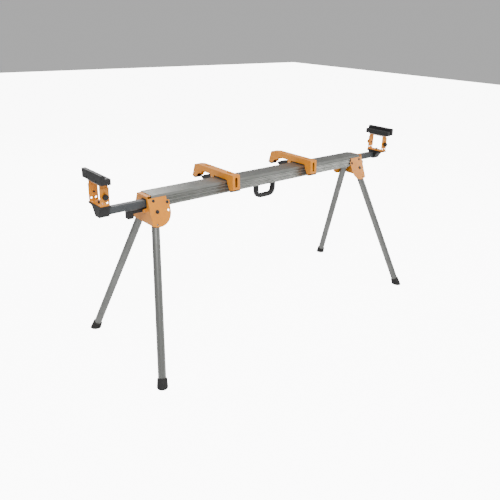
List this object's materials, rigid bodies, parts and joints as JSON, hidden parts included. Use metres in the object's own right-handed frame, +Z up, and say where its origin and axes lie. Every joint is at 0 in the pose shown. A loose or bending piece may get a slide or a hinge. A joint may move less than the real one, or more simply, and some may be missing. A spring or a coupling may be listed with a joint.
{
  "type": "folding saw stand",
  "caption": "Folding saw stand: an extruded beam on splayed folding legs, with pull-out work supports and clamp-on brackets that carry a mitre saw.",
  "frame": {"origin": "on the floor below the middle of the beam", "axes": "+X along the beam to the right, +Y to the back, +Z up"},
  "size_m": [2.004, 0.7348, 0.958],
  "materials": {
    "bare_aluminium": "extruded, clear anodised",
    "yellow_paint": "satin powder coat",
    "charcoal_paint": "satin powder coat",
    "leg_grey": "grey anodised tube",
    "foot_rubber": "moulded matt",
    "zinc_steel": "zinc plated",
    "black_steel": "satin black",
    "black_plastic": "moulded, fine texture"
  },
  "bodies": {
    "frame": {"beam": "bare_aluminium", "left_leg_bracket": "yellow_paint", "right_leg_bracket": "yellow_paint", "pivot_bolts": "black_steel", "pivot_nuts": "zinc_steel", "bracket_screws": "black_steel", "tube_guides": "black_plastic", "carry_handle": "black_plastic", "handle_bolts": "zinc_steel", "lock_lever_pins": "zinc_steel"},
    "right_rear_leg": {"right_rear_leg_tube": "leg_grey", "right_rear_leg_plug": "black_plastic", "right_rear_foot": "foot_rubber"},
    "right_rear_button": {"right_rear_snap_button": "zinc_steel"},
    "right_front_leg": {"right_front_leg_tube": "leg_grey", "right_front_leg_plug": "black_plastic", "right_front_foot": "foot_rubber"},
    "right_front_button": {"right_front_snap_button": "zinc_steel"},
    "left_rear_leg": {"left_rear_leg_tube": "leg_grey", "left_rear_leg_plug": "black_plastic", "left_rear_foot": "foot_rubber"},
    "left_rear_button": {"left_rear_snap_button": "zinc_steel"},
    "left_front_leg": {"left_front_leg_tube": "leg_grey", "left_front_leg_plug": "black_plastic", "left_front_foot": "foot_rubber"},
    "left_front_button": {"left_front_snap_button": "zinc_steel"},
    "right_extension": {"right_extension_tube": "charcoal_paint", "right_tube_glide": "black_plastic", "right_end_cap": "black_plastic", "right_support_yoke": "yellow_paint"},
    "right_support": {"right_height_slider": "yellow_paint", "right_top_plate": "zinc_steel", "right_rest_bar": "black_plastic"},
    "right_stop": {"right_flip_stop": "black_plastic"},
    "right_rear_knob": {"right_rear_knob": "black_plastic"},
    "right_front_knob": {"right_front_knob": "black_plastic"},
    "right_lock": {"right_lock_lever": "black_plastic"},
    "right_bracket": {"right_saw_bracket": "yellow_paint", "right_bracket_tips": "black_plastic", "right_front_jaw": "black_steel", "right_clamp_pin": "zinc_steel"},
    "right_clamp": {"right_clamp_lever": "black_plastic"},
    "right_jaw": {"right_rear_jaw": "black_steel"},
    "left_extension": {"left_extension_tube": "charcoal_paint", "left_tube_glide": "black_plastic", "left_end_cap": "black_plastic", "left_support_yoke": "yellow_paint"},
    "left_support": {"left_height_slider": "yellow_paint", "left_top_plate": "zinc_steel", "left_rest_bar": "black_plastic"},
    "left_stop": {"left_flip_stop": "black_plastic"},
    "left_rear_knob": {"left_rear_knob": "black_plastic"},
    "left_front_knob": {"left_front_knob": "black_plastic"},
    "left_lock": {"left_lock_lever": "black_plastic"},
    "left_bracket": {"left_saw_bracket": "yellow_paint", "left_bracket_tips": "black_plastic", "left_front_jaw": "black_steel", "left_clamp_pin": "zinc_steel"},
    "left_clamp": {"left_clamp_lever": "black_plastic"},
    "left_jaw": {"left_rear_jaw": "black_steel"}
  },
  "joints": [
    {"name": "right_rear_leg_fold", "type": "hinge", "parent": "frame", "child": "right_rear_leg", "pos_m": [0.725, 0.05, 0.735], "axis": [0, 0.9304, 0.3665], "range_deg": [0, 95.5]},
    {"name": "right_rear_button_press", "type": "slide", "parent": "right_rear_leg", "child": "right_rear_button", "axis": [0, -0.9304, -0.3665], "range_m": [0, 0.004]},
    {"name": "right_front_leg_fold", "type": "hinge", "parent": "frame", "child": "right_front_leg", "pos_m": [0.725, -0.05, 0.735], "axis": [0, 0.9304, -0.3665], "range_deg": [0, 95.5]},
    {"name": "right_front_button_press", "type": "slide", "parent": "right_front_leg", "child": "right_front_button", "axis": [0, 0.9304, -0.3665], "range_m": [0, 0.004]},
    {"name": "left_rear_leg_fold", "type": "hinge", "parent": "frame", "child": "left_rear_leg", "pos_m": [-0.725, 0.05, 0.735], "axis": [0, -0.9304, -0.3665], "range_deg": [0, 101]},
    {"name": "left_rear_button_press", "type": "slide", "parent": "left_rear_leg", "child": "left_rear_button", "axis": [0, -0.9304, -0.3665], "range_m": [0, 0.004]},
    {"name": "left_front_leg_fold", "type": "hinge", "parent": "frame", "child": "left_front_leg", "pos_m": [-0.725, -0.05, 0.735], "axis": [0, -0.9304, 0.3665], "range_deg": [0, 101]},
    {"name": "left_front_button_press", "type": "slide", "parent": "left_front_leg", "child": "left_front_button", "axis": [0, 0.9304, -0.3665], "range_m": [0, 0.004]},
    {"name": "right_extension_slide", "type": "slide", "parent": "frame", "child": "right_extension", "axis": [1, 0, 0], "range_m": [-0.182, 0.912]},
    {"name": "right_height_slide", "type": "slide", "parent": "right_extension", "child": "right_support", "axis": [0, 0, 1], "range_m": [-0.015, 0.015]},
    {"name": "right_stop_flip", "type": "hinge", "parent": "right_support", "child": "right_stop", "pos_m": [0.996, 0, 0.92], "axis": [0, 1, 0], "range_deg": [0, 90]},
    {"name": "right_rear_knob_turn", "type": "hinge", "parent": "right_support", "child": "right_rear_knob", "pos_m": [0.972, 0.06, 0.856], "axis": [0, 1, 0], "range_deg": [0, 360]},
    {"name": "right_front_knob_turn", "type": "hinge", "parent": "right_support", "child": "right_front_knob", "pos_m": [0.972, -0.06, 0.856], "axis": [0, -1, 0], "range_deg": [0, 360]},
    {"name": "right_lock_swing", "type": "hinge", "parent": "frame", "child": "right_lock", "pos_m": [0.772, 0.0205, 0.748], "axis": [0, 1, 0], "range_deg": [0, 50]},
    {"name": "right_bracket_slide", "type": "slide", "parent": "frame", "child": "right_bracket", "axis": [1, 0, 0], "range_m": [-0.22, 0.32]},
    {"name": "right_clamp_swing", "type": "hinge", "parent": "right_bracket", "child": "right_clamp", "pos_m": [0.279, 0.075, 0.812], "axis": [-1, 0, 0], "range_deg": [0, 60]},
    {"name": "right_jaw_slide", "type": "slide", "parent": "right_bracket", "child": "right_jaw", "axis": [0, 1, 0], "range_m": [0, 0.008]},
    {"name": "left_extension_slide", "type": "slide", "parent": "frame", "child": "left_extension", "axis": [-1, 0, 0], "range_m": [-0.182, 0.912]},
    {"name": "left_height_slide", "type": "slide", "parent": "left_extension", "child": "left_support", "axis": [0, 0, 1], "range_m": [-0.015, 0.015]},
    {"name": "left_stop_flip", "type": "hinge", "parent": "left_support", "child": "left_stop", "pos_m": [-0.996, 0, 0.92], "axis": [0, -1, 0], "range_deg": [0, 90]},
    {"name": "left_rear_knob_turn", "type": "hinge", "parent": "left_support", "child": "left_rear_knob", "pos_m": [-0.972, 0.06, 0.856], "axis": [0, 1, 0], "range_deg": [0, 360]},
    {"name": "left_front_knob_turn", "type": "hinge", "parent": "left_support", "child": "left_front_knob", "pos_m": [-0.972, -0.06, 0.856], "axis": [0, -1, 0], "range_deg": [0, 360]},
    {"name": "left_lock_swing", "type": "hinge", "parent": "frame", "child": "left_lock", "pos_m": [-0.772, -0.0205, 0.748], "axis": [0, -1, 0], "range_deg": [0, 50]},
    {"name": "left_bracket_slide", "type": "slide", "parent": "frame", "child": "left_bracket", "axis": [1, 0, 0], "range_m": [-0.32, 0.22]},
    {"name": "left_clamp_swing", "type": "hinge", "parent": "left_bracket", "child": "left_clamp", "pos_m": [-0.279, 0.075, 0.812], "axis": [-1, 0, 0], "range_deg": [0, 60]},
    {"name": "left_jaw_slide", "type": "slide", "parent": "left_bracket", "child": "left_jaw", "axis": [0, 1, 0], "range_m": [0, 0.008]}
  ],
  "couplings": [
    {"joint": "right_jaw_slide", "follows": "right_clamp_swing", "m_per_rad": 0.0076394},
    {"joint": "left_jaw_slide", "follows": "left_clamp_swing", "m_per_rad": 0.0076394}
  ]
}
